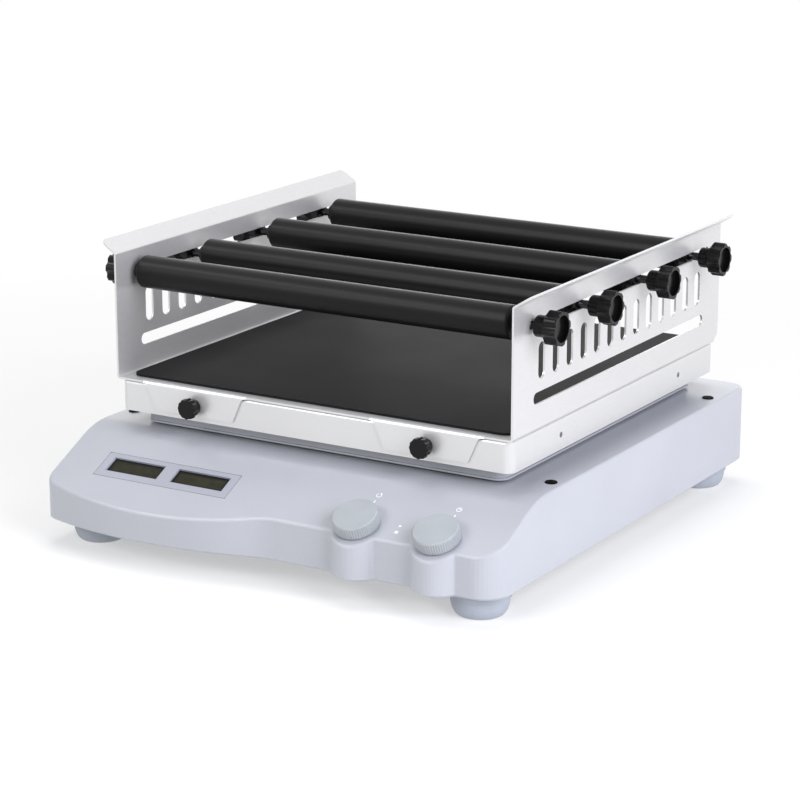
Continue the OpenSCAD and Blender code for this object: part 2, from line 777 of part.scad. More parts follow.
module dial_knob(x) {
    r = knob_d / 2;
    shaft_l = knob_lift + board_drop - encoder_h + encoder_rotor_h - shaft_past;
    color("#cdd2da") on_panel(x, knob_y) translate([0, 0, knob_lift]) {
        intersection() {
            linear_extrude(height = knob_h) lobed(r, rib_depth, knob_ribs, 4);
            rotate_extrude() polygon([[0, 0], [r + over, 0], [r + over, knob_h - knob_bevel - over],
                [r - knob_bevel, knob_h], [0, knob_h]]);
        }
        translate([0, 0, -shaft_l]) cylinder(d = dial_shaft_d, h = shaft_l + knob_h / 2);
    }
}

// Rear connectors and the power supply
module mains_inlet() {
    w = socket[0] / 2;
    h = socket[1] / 2;
    body = [inlet_body[0] - 2 * seat_gap, inlet_body[1] - 2 * seat_gap, inlet_l];
    color("#1d1f22") at_rear(inlet_x) {
        difference() {
            union() {
                block([inlet_flange[0], inlet_flange[1], inlet_flange_t]);
                translate([0, 0, -inlet_l]) block([body[0], body[1], inlet_l + inlet_flange_t / 2]);
            }
            translate([0, 0, inlet_flange_t - socket_deep]) linear_extrude(height = socket_deep + over)
                polygon([[-w, h], [-w, socket_bevel - h], [socket_bevel - w, -h],
                    [w - socket_bevel, -h], [w, socket_bevel - h], [w, h]]);
        }
        for (s = [-1, 0, 1])
            translate([s * inlet_pin_pitch, s == 0 ? -inlet_pin_drop : inlet_pin_drop / 2, -socket_deep])
                block([inlet_pin[0], inlet_pin[1], inlet_pin_l]);
    }
}
module power_switch_frame() {
    body = [switch_body[0] - 2 * seat_gap, switch_body[1] - 2 * seat_gap];
    color("#1d1f22") at_rear(switch_x) difference() {
        union() {
            block([switch_flange[0], switch_flange[1], switch_flange_t]);
            translate([0, 0, -switch_l]) block([body[0], body[1], switch_l + switch_flange_t / 2]);
        }
        translate([0, 0, -switch_cup])
            block([rocker_w + rocker_swing + 2 * move_gap, rocker_d + 2 * move_gap,
                switch_cup + switch_flange_t + over]);
    }
}
module power_switch_rocker() {
    half = rocker_w / 2;
    color("#2a2c30") at_rear(switch_x) translate([0, rocker_d / 2, rocker_pivot])
        rotate([90, 0, 0]) linear_extrude(height = rocker_d) rotate([0, 0, -rocker_tilt])
            polygon([[-half, 0], [0, -rocker_keel], [half, 0], [half, rocker_h], [0, rocker_h - rocker_dip],
                [-half, rocker_h]]);
}
module power_supply() {
    top = supply_stand_h + board_t;
    stand_in = supply_stand_d;
    color("#4d7a58") translate([0, rear_y - wall - supply_back - supply[1], plate_top]) {
        for (x = [stand_in, supply[0] - stand_in], y = [stand_in, supply[1] - stand_in])
            translate([x, y, 0]) cylinder(d = supply_stand_d, h = top);
        translate([0, 0, supply_stand_h]) cube([supply[0], supply[1], board_t]);
        translate([supply[0] * supply_block_share[0], supply[1] * supply_block_share[1], supply_stand_h])
            cube([supply_block[0], supply_block[1], supply_block[2] + board_t]);
        for (s = supply_can_shares) translate([supply[0] * s[0], supply[1] * s[1], supply_stand_h])
            cylinder(d = supply_can_d, h = supply_can_h + board_t);
        translate([supply[0] * supply_fin_share[0], supply[1] * supply_fin_share[1], supply_stand_h])
            cube([supply_fin[0], supply_fin[1], supply_fin[2] + board_t]);
    }
}

// Motor, pulleys and belt
module motor() {
    color("#55585c") translate([motor_x, crank_y, plate_top]) difference() {
        union() {
            cylinder(d = motor_d + 2 * motor_flange_w, h = motor_flange_t);
            cylinder(d = motor_d, h = motor_top - plate_top - motor_neck_h);
            cylinder(d = motor_neck_d, h = motor_top - plate_top);
        }
        translate([0, 0, motor_bore_z]) cylinder(d = motor_shaft_d + 2 * run_gap, h = motor_top);
    }
}
module grooved_pulley(d, bore) {
    deep = d / 2 - belt_t;
    rotate_extrude() polygon([[bore / 2, 0], [d / 2, 0], [d / 2, belt_rim], [deep, belt_rim],
        [deep, pulley_h - belt_rim], [d / 2, pulley_h - belt_rim], [d / 2, pulley_h], [bore / 2, pulley_h]]);
}
module motor_pulley() {
    shaft_z = plate_top + motor_bore_z + run_gap;
    color("#b8bbc0") translate([motor_x, crank_y, 0]) {
        translate([0, 0, pulley_z]) grooved_pulley(motor_pulley_d, 0);
        translate([0, 0, shaft_z]) cylinder(d = motor_shaft_d, h = pulley_z + pulley_h / 2 - shaft_z);
    }
}
function belt_loop(extra) = let (
    r1 = pulley_d / 2 - belt_t + belt_gap + extra,
    r2 = motor_pulley_d / 2 - belt_t + belt_gap + extra,
    lean = asin((r1 - r2) / motor_offset))
    concat(arc([0, 0], r1, -90 - lean, 90 + lean, 36),
        arc([-motor_offset, 0], r2, 90 + lean, 270 - lean, 16));
module drive_belt() {
    color("#2b2b2b") translate([0, crank_y, pulley_z + belt_rim + belt_gap])
        linear_extrude(height = belt_h - 2 * belt_gap) difference() {
            polygon(belt_loop(belt_t));
            polygon(belt_loop(0));
        }
}

// Crank, its bearings and its balance
module main_bearing_housing() {
    flange_d = bearing_d + 2 * bearing_flange_w;
    color("#a9adb2") translate([0, crank_y, plate_top]) difference() {
        union() {
            cylinder(d = flange_d, h = bearing_flange_t);
            cylinder(d = bearing_d + 2 * bearing_wall, h = bearing_top - plate_top - 2 * run_gap);
        }
        translate([0, 0, bearing_floor]) cylinder(d = bearing_d + 2 * seat_gap, h = deck_z);
        translate([0, 0, -over]) cylinder(d = shaft_d + 2 * bearing_shoulder, h = deck_z);
        for (k = [0 : 3]) rotate([0, 0, 45 + 90 * k]) translate([flange_d / 2 - bearing_bolt_in, 0, -over])
            cylinder(d = bearing_bolt_d, h = bearing_flange_t + 2 * over);
    }
}
module ball_bearing() {
    r = bearing_d / 2;
    s = shaft_d / 2 + run_gap;
    race = (r - s) * race_share;
    low = bearing_groove;
    high = bearing_h - bearing_groove;
    rotate_extrude() polygon([[s, 0], [s + race, 0], [s + race, low], [r - race, low], [r - race, 0], [r, 0],
        [r, bearing_h], [r - race, bearing_h], [r - race, high], [s + race, high], [s + race, bearing_h],
        [s, bearing_h]]);
}
module main_bearings() {
    color("#c9ccd0") for (z = [lower_bearing_z, upper_bearing_z]) translate([0, crank_y, z]) ball_bearing();
}
module crankshaft() {
    shaft_z = plate_top + shaft_foot;
    color("#8f9398") translate([0, crank_y, 0]) {
        translate([0, 0, shaft_z]) cylinder(d = shaft_d, h = deck_z - shaft_z);
        translate([0, 0, crank_head_z]) cylinder(d = crank_head_d, h = deck_z - crank_head_z);
        translate([0, -orbit_r, crank_head_z]) cylinder(d = shaft_d, h = pin_top - crank_head_z);
        translate([0, -orbit_r, crank_head_z])
            cylinder(d = shaft_d + 2 * collar_wall, h = table_bearing_z - move_gap - crank_head_z);
    }
}
module driven_pulley() {
    hub_d = shaft_d + 2 * pulley_hub_wall;
    rim_in = pulley_d - 2 * belt_t - 2 * pulley_rim_w;
    color("#b8bbc0") translate([0, crank_y, pulley_z]) difference() {
        grooved_pulley(pulley_d, shaft_d + 2 * seat_gap);
        translate([0, 0, -over]) ring(rim_in, hub_d, pulley_recess + over);
        for (k = [0 : 5]) rotate([0, 0, 60 * k]) translate([pulley_hole_r, 0, -over])
            cylinder(d = pulley_hole_d, h = pulley_h + 2 * over);
    }
}
module counterweight() {
    r = pulley_d / 2 - weight_inset;
    cut_y = shaft_d / 2 + weight_cut;
    color("#7d8186") translate([0, crank_y, weight_z]) difference() {
        cylinder(r = r, h = weight_h);
        translate([0, 0, -over]) cylinder(d = shaft_d + 2 * seat_gap, h = weight_h + 2 * over);
        translate([0, -r - cut_y, -over]) block([3 * r, 2 * r, weight_h + 2 * over]);
    }
}

// Guide cranks: four small cranks that keep the table square
module guide_bearing_housings() {
    barrel_d = guide_d + 2 * guide_wall;
    color("#a9adb2") for (p = guide_places) translate([p[0], p[1], plate_top]) difference() {
        union() {
            cylinder(d = barrel_d + 2 * guide_flange_w, h = guide_flange_t);
            cylinder(d = barrel_d, h = guide_barrel_top - plate_top);
        }
        translate([0, 0, -over]) cylinder(d = guide_d + 2 * run_gap, h = deck_z);
    }
}
module guide_crank(i) {
    shaft_z = plate_top + shaft_foot;
    color("#8f9398") translate([guide_places[i][0], guide_places[i][1], 0]) {
        translate([0, 0, shaft_z]) cylinder(d = guide_d, h = guide_head_z - shaft_z);
        translate([0, 0, guide_head_z])
            cylinder(d = guide_d + 2 * orbit_r + 2 * guide_head_wall, h = guide_head_h);
        translate([0, -orbit_r, guide_head_z]) cylinder(d = guide_d, h = guide_pin_top - guide_head_z);
    }
}

// Table: an alloy plate with five hubs, under a moulded tray
module table_plate() {
    hub_h = table_plate_z + alloy_t / 2 - hub_z;
    color("#a9adb2") difference() {
        translate([0, table_y, 0]) union() {
            translate([0, 0, table_plate_z]) linear_extrude(height = alloy_t)
                round_rect(tray_w - 2 * alloy_inset, tray_d - 2 * alloy_inset, alloy_corner_r);
            translate([0, 0, hub_z]) cylinder(d = bearing_d + 2 * hub_wall, h = hub_h);
            for (p = guide_places) translate([p[0], p[1] - crank_y, hub_z])
                cylinder(d = guide_d + 2 * guide_hub_wall, h = hub_h);
        }
        translate([0, table_y, hub_z - over])
            cylinder(d = bearing_d + 2 * seat_gap, h = table_bearing_z + bearing_h - hub_z + over);
        translate([0, table_y, table_bearing_z])
            cylinder(d = shaft_d + 2 * hub_relief, h = pin_top + move_gap - table_bearing_z);
        for (p = guide_places) translate([p[0], p[1] - orbit_r, hub_z - over])
            cylinder(d = guide_d + 2 * run_gap, h = guide_pin_top + move_gap - hub_z + over);
        for (p = table_screws) translate([p[0], p[1], table_plate_z - over])
            cylinder(d = table_screw_d + 2 * seat_gap, h = alloy_t + 2 * over);
    }
}
module table_bearing() {
    color("#c9ccd0") translate([0, table_y, table_bearing_z]) ball_bearing();
}
module table_tray() {
    body_w = tray_w - 2 * lip_out;
    body_d = tray_d - 2 * lip_out;
    body_r = tray_corner_r - lip_out;
    color("#bfc4ce") difference() {
        translate([0, table_y, tray_z]) union() {
            linear_extrude(height = table_under - tray_z) round_rect(body_w, body_d, body_r);
            linear_extrude(height = lip_h) round_rect(tray_w, tray_d, tray_corner_r);
        }
        translate([0, table_y, tray_z - over]) linear_extrude(height = table_under - tray_t - tray_z + over)
            round_rect(body_w - 2 * tray_t, body_d - 2 * tray_t, body_r - tray_t);
        for (p = table_screws) translate([p[0], p[1], table_under - tray_t - over])
            cylinder(d = table_screw_d + 2 * table_screw_gap, h = tray_t + 2 * over);
    }
}

// Platform: a folded sheet with rounded bends, and threaded holes in its skirt
function bend_section(w, r, top) = concat([[-w / 2, 0], [w / 2, 0]],
    arc([w / 2 - r, top - r], r, 0, 90, 5), arc([r - w / 2, top - r], r, 90, 180, 5));
module folded_box(w, d, corner, r, top, low) {
    intersection() {
        translate([0, 0, low]) linear_extrude(height = top - low) round_rect(w, d, corner);
        rotate([90, 0, 0]) translate([0, 0, -d]) linear_extrude(height = 2 * d)
            polygon(bend_section(w, r, top));
        rotate([90, 0, 90]) translate([0, 0, -w]) linear_extrude(height = 2 * w)
            polygon(bend_section(d, r, top));
    }
}
module side_holes() {
    for (y = [-1, 1]) translate([-platform_w, side_hole_y + y * side_hole_pitch / 2, side_hole_z])
        rotate([0, 90, 0]) cylinder(d = side_hole_d, h = 2 * platform_w);
}
module thumb_holes(gap) {
    for (x = [-1, 1]) translate([x * thumb_pitch / 2, table_y - platform_d, thumb_z])
        rotate([-90, 0, 0]) cylinder(d = thumb_shank_d + 2 * gap, h = 2 * platform_d);
}
module platform() {
    t = sheet_t;
    color("#eceef1") difference() {
        translate([0, table_y, 0]) difference() {
            folded_box(platform_w, platform_d, platform_corner_r, platform_edge_r, platform_z, skirt_z);
            folded_box(platform_w - 2 * t, platform_d - 2 * t, platform_corner_r - t, platform_edge_r - t,
                platform_z - t, skirt_z - over);
        }
        side_holes();
        thumb_holes(run_gap);
        for (p = table_screws) translate([p[0], p[1], table_under - over])
            cylinder(d = table_screw_head_d + 2 * table_screw_gap, h = sheet_t + 2 * over);
    }
}
module platform_screws() {
    color("#b4b7ba") for (p = table_screws) translate([p[0], p[1], 0]) {
        translate([0, 0, table_under]) cylinder(d = table_screw_head_d, h = sheet_t - run_gap);
        translate([0, 0, table_plate_z]) cylinder(d = table_screw_d, h = table_under - table_plate_z);
    }
}

// Carrier: one bent sheet with a floor, two slotted walls with tilted flanges, and four screw tabs
flange_a = atan2(flange_up, flange_out);
flange_c = [carrier_w / 2 - sheet_t + flange_fold_r, carrier_top - flange_fold_r];
function wall_path(side) = concat(
    arc([carrier_w / 2 - fold_r, platform_z + fold_r], fold_r - side, -90, 0, 5),
    arc(flange_c, flange_fold_r - sheet_t + side, 180, 90 + flange_a, 5),
    [[carrier_w / 2 + flange_out - side * sin(flange_a),
        carrier_top + flange_up + (side - sheet_t) * cos(flange_a)]]);
module carrier_section() {
    polygon(concat(wall_path(0), reversed(wall_path(sheet_t)), mirrored(reversed(wall_path(sheet_t))),
        mirrored(wall_path(0))));
}
module side_outline() {
    top = carrier_top + 2 * flange_up;
    half = carrier_d / 2;
    short = half - 2 * fold_r;
    low = platform_z + sheet_t + fold_r;
    polygon(concat([[-half, 0], [short, 0], [short, low]],
        arc([half - wall_corner_r, low + wall_corner_r], wall_corner_r, -80, 0, 4),
        [[half, top], [-half, top]]));
}
function soft(a, b, c, n) = [for (k = [0 : n]) let (t = k / n)
    a * (1 - t) * (1 - t) + b * 2 * t * (1 - t) + c * t * t];
module tab_shape() {
    top = platform_z;
    root = [tab_top_w / 2, top];
    tip = [tab_low_w / 2, tab_z];
    lean = (tip - root) / norm(tip - root);
    right = concat(
        soft(tip + [-tab_foot_r, 0], tip, tip - lean * tab_foot_r, 3),
        soft(root + lean * tab_corner_r, root, root + [tab_corner_r, 0], 4),
        [[tab_top_w / 2 + tab_corner_r, top + 2 * sheet_t]]);
    polygon(concat(right, mirrored(right)));
}
module tab_section() {
    y0 = -carrier_d / 2;
    bend_c = [y0 + fold_r, platform_z + sheet_t - fold_r];
    polygon(concat([[y0 + 2 * fold_r, platform_z + sheet_t]], arc(bend_c, fold_r, 90, 180, 5),
        [[y0, tab_z], [y0 + sheet_t, tab_z]], arc(bend_c, fold_r - sheet_t, 180, 90, 5),
        [[y0 + 2 * fold_r, platform_z]]));
}
module tabs() {
    for (x = [-1, 1]) intersection() {
        rotate([90, 0, 90]) translate([0, 0, -carrier_w / 2]) linear_extrude(height = carrier_w)
            tab_section();
        translate([x * thumb_pitch / 2, 0, 0]) rotate([90, 0, 0]) linear_extrude(height = carrier_d)
            tab_shape();
    }
}
module carrier() {
    root_w = tab_top_w + 2 * tab_corner_r;
    color("#e2e5e9") difference() {
        translate([0, table_y, 0]) union() {
            difference() {
                intersection() {
                    rotate([90, 0, 0]) translate([0, 0, -carrier_d / 2]) linear_extrude(height = carrier_d)
                        carrier_section();
                    rotate([90, 0, 90]) translate([0, 0, -carrier_w]) linear_extrude(height = 2 * carrier_w)
                        side_outline();
                    linear_extrude(height = 2 * carrier_top)
                        round_rect(carrier_w + 2 * flange_out, carrier_d, flange_corner_r);
                }
                for (x = [-1, 1]) translate([x * thumb_pitch / 2, fold_r - carrier_d / 2, platform_z - over])
                    block([root_w, 2 * fold_r, sheet_t + 2 * over]);
            }
            tabs();
            mirror([0, 1, 0]) tabs();
        }
        thumb_holes(thumb_hole_gap);
        for (s = [-1, 1]) translate([s * carrier_w / 2, table_y, platform_z]) rotate([90, 0, 90])
            translate([0, 0, -2 * sheet_t]) linear_extrude(height = 4 * sheet_t) {
                for (k = [0 : slot_count - 1])
                    translate([(k - (slot_count - 1) / 2) * slot_pitch, slot_z]) rotate([0, 0, 90])
                        slot_2d(slot_h, slot_w);
                translate([0, low_slot_z]) slot_2d(low_slot_l, low_slot_h);
                translate([0, roller_z]) slot_2d(roller_slot_l, rod_d + 2 * move_gap);
            }
    }
}
module rubber_mat() {
    color("#232426") translate([0, table_y, platform_z + sheet_t]) linear_extrude(height = mat_t)
        round_rect(carrier_w - 2 * mat_inset, carrier_d - 2 * mat_end_inset, mat_corner_r);
}

// Clamp rollers: a foam sleeve with rounded ends, a threaded rod, and a nut and washer at each end
function roller_x(i) = roller_play * roller_shift_shares[i];
function knob_off(i) = knob_slack * knob_slack_shares[i];
module along_roller(i, x) {
    translate([x, roller_y(i), rollers_z]) rotate([0, 90, 0]) children();
}
module roller_sleeve(i) {
    r = roller_d / 2;
    end = roller_l / 2 + cap_t;
    bore = rod_d / 2 + seat_gap;
    color("#2b2c2e") along_roller(i, roller_x(i)) rotate_extrude() polygon(concat(
        [[bore, end], [bore, -end]],
        arc([r - cap_r, cap_r - end], cap_r, -90, 0, 5),
        arc([r - cap_r, end - cap_r], cap_r, 0, 90, 5)));
}
module roller_axle(i) {
    rod_half = star_start + star_bore_l - move_gap + knob_slack * min(knob_slack_shares) / 2;
    color("#c4c7cb") {
        along_roller(i, knob_off(i) / 2) translate([0, 0, -rod_half]) cylinder(d = rod_d, h = 2 * rod_half);
        along_roller(i, roller_x(i)) for (s = [0, 180]) rotate([s, 0, 0])
            translate([0, 0, roller_l / 2 + cap_t]) {
                cylinder(d = nut_d, h = nut_t, $fn = 6);
                translate([0, 0, nut_t]) cylinder(d = washer_d, h = washer_t);
            }
    }
}

// Star knobs: a round collar that flares into a scalloped head with a deep cup
module star_knob(i, s) {
    r = star_d / 2;
    neck_r = star_neck_d / 2;
    slope = star_flare / (r - neck_r);
    root = star_neck_l - over * slope;
    start = star_start + (s > 0 ? knob_off(i) : 0);
    color("#1b1c1e") along_roller(i, 0) rotate([0, s > 0 ? 0 : 180, 0]) rotate([0, 0, star_turns[i]])
        translate([0, 0, start]) difference() {
            union() {
                rotate_extrude() polygon(concat([[0, 0]],
                    arc([neck_r - star_neck_r, star_neck_r], star_neck_r, -90, 0, 4),
                    [[neck_r, star_neck_l + star_flare], [0, star_neck_l + star_flare]]));
                intersection() {
                    translate([0, 0, root]) linear_extrude(height = star_l - root)
                        lobed(r, star_scallop, star_lobes, 8);
                    rotate_extrude() polygon([[0, root], [neck_r - over, root],
                        [r + over, star_neck_l + star_flare + over * slope],
                        [r + over, star_l - star_bevel - over],
                        [r - star_bevel, star_l], [0, star_l]]);
                }
            }
            translate([0, 0, -over]) cylinder(d = rod_d + 2 * run_gap, h = star_bore_l + over);
            translate([0, 0, star_l - star_cup]) cylinder(d = star_cup_d, h = star_cup + over);
            for (k = [1 : star_grooves]) rotate([0, 0, 360 * k / star_grooves]) translate([neck_r, 0, -over])
                cylinder(r = star_groove_r, h = star_neck_l - star_groove_r + over);
        }
}

// Thumb screws: a round collar under a fluted head
module thumb_screw(x, side) {
    r = thumb_d / 2;
    color("#1b1c1e") translate([x * thumb_pitch / 2, table_y + side * (carrier_d / 2 + move_gap), thumb_z])
        rotate([-90 * side, 0, 0]) {
            cylinder(d = thumb_collar_d, h = thumb_collar_l + thumb_bevel);
            intersection() {
                translate([0, 0, thumb_collar_l]) linear_extrude(height = thumb_l - thumb_collar_l)
                    lobed(r, thumb_flute, thumb_flutes, 6);
                rotate_extrude() polygon([[0, 0], [r + over, 0], [r + over, thumb_l - thumb_bevel - over],
                    [r - thumb_bevel, thumb_l], [0, thumb_l]]);
            }
            translate([0, 0, -thumb_shank_l]) cylinder(d = thumb_shank_d, h = thumb_shank_l + thumb_l / 2);
        }
}

housing();
base_plate();
feet();
foot_screws();
deck_plugs();
housing_screws();
lcd_bezel();
lcd_windows();
control_board();
display_modules();
encoder_bodies();
encoder_rotor(knob_xs[0], seat_gap);  // speed_encoder_rotor
dial_knob(knob_xs[0]);  // speed_knob
encoder_rotor(knob_xs[1], run_gap);  // time_encoder_rotor
dial_knob(knob_xs[1]);  // time_knob
power_supply();
mains_inlet();
power_switch_frame();
power_switch_rocker();
motor();
motor_pulley();
drive_belt();
main_bearing_housing();
main_bearings();
crankshaft();
driven_pulley();
counterweight();
guide_bearing_housings();
guide_crank(0);  // guide_crank_1
guide_crank(1);  // guide_crank_2
guide_crank(2);  // guide_crank_3
guide_crank(3);  // guide_crank_4
table_plate();
table_bearing();
table_tray();
platform();
platform_screws();
carrier();
rubber_mat();
roller_sleeve(0);  // roller_1_sleeve
roller_axle(0);  // roller_1_axle
roller_sleeve(1);  // roller_2_sleeve
roller_axle(1);  // roller_2_axle
roller_sleeve(2);  // roller_3_sleeve
roller_axle(2);  // roller_3_axle
roller_sleeve(3);  // roller_4_sleeve
roller_axle(3);  // roller_4_axle
star_knob(0, 1);  // star_knob_right_1
star_knob(1, 1);  // star_knob_right_2
star_knob(2, 1);  // star_knob_right_3
star_knob(3, 1);  // star_knob_right_4
star_knob(0, -1);  // star_knob_left_1
star_knob(1, -1);  // star_knob_left_2
star_knob(2, -1);  // star_knob_left_3
star_knob(3, -1);  // star_knob_left_4
thumb_screw(-1, -1);  // thumb_screw_front_left
thumb_screw(1, -1);  // thumb_screw_front_right
thumb_screw(-1, 1);  // thumb_screw_rear_left
thumb_screw(1, 1);  // thumb_screw_rear_right
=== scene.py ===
import math

import bmesh
import bpy
from mathutils import Matrix, Vector


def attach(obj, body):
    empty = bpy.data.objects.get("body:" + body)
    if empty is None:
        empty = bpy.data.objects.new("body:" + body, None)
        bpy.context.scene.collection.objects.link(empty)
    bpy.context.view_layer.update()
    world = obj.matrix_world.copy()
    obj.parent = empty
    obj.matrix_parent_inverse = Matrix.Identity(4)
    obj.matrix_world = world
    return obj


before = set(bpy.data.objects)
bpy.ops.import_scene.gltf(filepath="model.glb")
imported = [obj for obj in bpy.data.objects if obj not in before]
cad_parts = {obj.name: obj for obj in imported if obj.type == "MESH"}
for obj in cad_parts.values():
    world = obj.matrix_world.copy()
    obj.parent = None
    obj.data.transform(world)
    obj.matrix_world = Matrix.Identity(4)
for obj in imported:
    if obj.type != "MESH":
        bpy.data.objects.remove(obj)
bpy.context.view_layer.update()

MM = 0.001


# Base housing and tray
# The base is one light blue-grey shell of moulded ABS, with a flat deck and a sloped panel. The
# shallow tray under the platform is moulded in the same plastic and moves with the platform.
def srgb(code):
    """The linear colour of a hex sRGB code."""
    parts = [int(code[i:i + 2], 16) / 255 for i in (0, 2, 4)]
    return [p / 12.92 if p <= 0.04045 else ((p + 0.055) / 1.055) ** 2.4 for p in parts] + [1]


def add(tree, kind, links=None, **settings):
    """Adds a shader node, sets its sockets by name and its other settings by attribute."""
    made = tree.nodes.new(kind)
    for key, value in settings.items():
        setattr(made, key, value)
    for key, value in (links or {}).items():
        if isinstance(value, bpy.types.NodeSocket):
            tree.links.new(value, made.inputs[key])
        else:
            made.inputs[key].default_value = value
    return made


def surface(name, dark, light, rough, cloud_mm, grain_mm, relief_mm, stretch=(1, 1, 1),
            metallic=0.0, specular=0.5, coat=0.0, coat_rough=0.12, coat_ior=1.5):
    """A material that clouds from a dark to a light colour, with uneven gloss and a fine relief."""
    made = bpy.data.materials.new(name)
    made.use_nodes = True
    tree = made.node_tree
    place = add(tree, "ShaderNodeTexCoord").outputs["Object"]
    along = add(tree, "ShaderNodeMapping", {"Vector": place, "Scale": stretch}).outputs["Vector"]
    cloud = add(tree, "ShaderNodeTexNoise", {
        "Vector": place, "Scale": 1 / (cloud_mm * MM), "Detail": 3}).outputs["Fac"]
    grain = add(tree, "ShaderNodeTexNoise", {
        "Vector": along, "Scale": 1 / (grain_mm * MM), "Detail": 2}).outputs["Fac"]
    total = add(tree, "ShaderNodeMath", {0: cloud, 1: grain}, operation="ADD").outputs[0]
    mean = add(tree, "ShaderNodeMath", {0: total, 1: 0.5}, operation="MULTIPLY").outputs[0]

    # Most of the pattern lies between these two values, which take the two ends of each range.
    weak, strong = 0.35, 0.65
    colour = add(tree, "ShaderNodeValToRGB", {"Fac": mean})
    for end, position, code in zip(colour.color_ramp.elements, (weak, strong), (dark, light)):
        end.position = position
        end.color = srgb(code)
    gloss = add(tree, "ShaderNodeMapRange", {
        "Value": mean, "From Min": weak, "From Max": strong, "To Min": rough[0], "To Max": rough[1]})
    relief = add(tree, "ShaderNodeBump", {
        "Height": grain, "Strength": 0.5, "Distance": relief_mm * MM})

    shader = tree.nodes["Principled BSDF"]
    tree.links.new(colour.outputs["Color"], shader.inputs["Base Color"])
    tree.links.new(gloss.outputs["Result"], shader.inputs["Roughness"])
    tree.links.new(relief.outputs["Normal"], shader.inputs["Normal"])
    shader.inputs["Metallic"].default_value = metallic
    shader.inputs["Specular IOR Level"].default_value = specular
    shader.inputs["Coat Weight"].default_value = coat
    shader.inputs["Coat Roughness"].default_value = coat_rough
    shader.inputs["Coat IOR"].default_value = coat_ior
    return made


def dress(look, *names):
    """Gives CAD nodes their material."""
    for name in names:
        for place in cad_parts[name].material_slots:
            place.material = look


# The mould is spark-eroded: pits of about 0.1 mm, drawn six times as coarse so that they show,
# spread the light and leave a soft, faint gloss.
moulded_abs = surface("moulded_abs", "AAADB4", "B3B6BD", rough=(0.36, 0.44), cloud_mm=90,
                      grain_mm=0.6, relief_mm=0.01, coat=0.25, coat_rough=0.18)
dress(moulded_abs, "housing", "table_tray")

# Base plate, feet and deck plugs
# The base is closed below by a rolled, galvanised steel plate and stands on four blue-grey rubber
# feet. Four black plugs are pressed into the deck over the housing's screws.
# Zinc cools in flowers of a few millimetres, which break up the plate's shine.
galvanised_steel = surface("galvanised_steel", "A4A8AC", "B7BABD", rough=(0.35, 0.5), cloud_mm=18,
                           grain_mm=3.0, relief_mm=0.004, metallic=0.9)
# Moulded rubber is dull, with a bloom in soft patches. Its pores are drawn coarse, at 0.6 mm.
foot_rubber = surface("foot_rubber", "989EA8", "A5ABB5", rough=(0.5, 0.62), cloud_mm=15,
                      grain_mm=0.6, relief_mm=0.03)
# Soft polyethylene plugs have hardly any gloss, so they look like holes from a distance.
plug_polyethylene = surface("plug_polyethylene", "070708", "0A0A0B", rough=(0.6, 0.7), cloud_mm=12,
                            grain_mm=0.4, relief_mm=0.01, specular=0.05)
# Zinc-plated steel is bright, with turning marks of 0.2 mm.
plated_steel = surface("plated_steel", "B9BBBE", "CDCFD1", rough=(0.22, 0.32), cloud_mm=8,
                       grain_mm=0.2, relief_mm=0.006, metallic=1.0)
dress(galvanised_steel, "base_plate")
dress(foot_rubber, "feet")
dress(plug_polyethylene, "deck_plugs")
dress(plated_steel, "foot_screws", "housing_screws")

# Control knobs
# Two ribbed knobs of grey ABS turn on encoders behind the panel. A short line is printed on the
# panel above each of them.
# The knobs come from a polished mould, so they are smoother and a little greener than the base.
knob_abs = surface("knob_abs", "9CA1A5", "A6ABAF", rough=(0.38, 0.46), cloud_mm=20,
                   grain_mm=0.5, relief_mm=0.004)
# Screen ink lies as an even, half-matte film. Its mesh marks are drawn at 0.3 mm.
white_ink = surface("white_ink", "EDEFF2", "F6F7F9", rough=(0.4, 0.5), cloud_mm=5,
                    grain_mm=0.3, relief_mm=0.002)
dress(knob_abs, "speed_knob", "time_knob")
dress(plated_steel, "encoder_bodies", "speed_encoder_rotor", "time_encoder_rotor")

# The panel slopes down to the front from this line on the deck.
PANEL_ANGLE = math.radians(26)
PANEL_Y = -135
DECK_Z = 76.5

KNOB_Y = -183.7
SPEED_X = 73.4
TIME_X = 136.4
TICK_W = 0.7
TICK_START = 20
TICK_END = 25.5
PRINT_T = 0.06


def on_panel(x, y, rise=0, side=0):
    """The place of a point on the panel, moved up the slope and sideways, with Z out of the panel."""
    height = DECK_Z + (y - PANEL_Y) * math.tan(PANEL_ANGLE)
    return (Matrix.Translation((x, y, height)) @ Matrix.Rotation(PANEL_ANGLE, 4, "X")
            @ Matrix.Translation((side, rise, 0)))


def bar(mesh, low, high, place):
    """Adds a square bar between two corners in millimetres, at a place."""
    low, high = Vector(low), Vector(high)
    middle = Matrix.Translation((low + high) / 2)
    bmesh.ops.create_cube(mesh, size=1, matrix=place @ middle @ Matrix.Diagonal((*(high - low), 1)))


def shape(name, mesh, look):
    """Makes an object of one material from a finished bmesh in millimetres."""
    bmesh.ops.scale(mesh, vec=(MM, MM, MM), verts=mesh.verts)
    bmesh.ops.recalc_face_normals(mesh, faces=mesh.faces)
    data = bpy.data.meshes.new(name)
    mesh.to_mesh(data)
    mesh.free()
    data.materials.append(look)
    made = bpy.data.objects.new(name, data)
    bpy.context.scene.collection.objects.link(made)
    return made


mesh = bmesh.new()
for x in (SPEED_X, TIME_X):
    bar(mesh, (-TICK_W / 2, TICK_START, 0), (TICK_W / 2, TICK_END, PRINT_T), on_panel(x, KNOB_Y))
index_marks = shape("index_marks", mesh, white_ink)
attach(index_marks, "base")

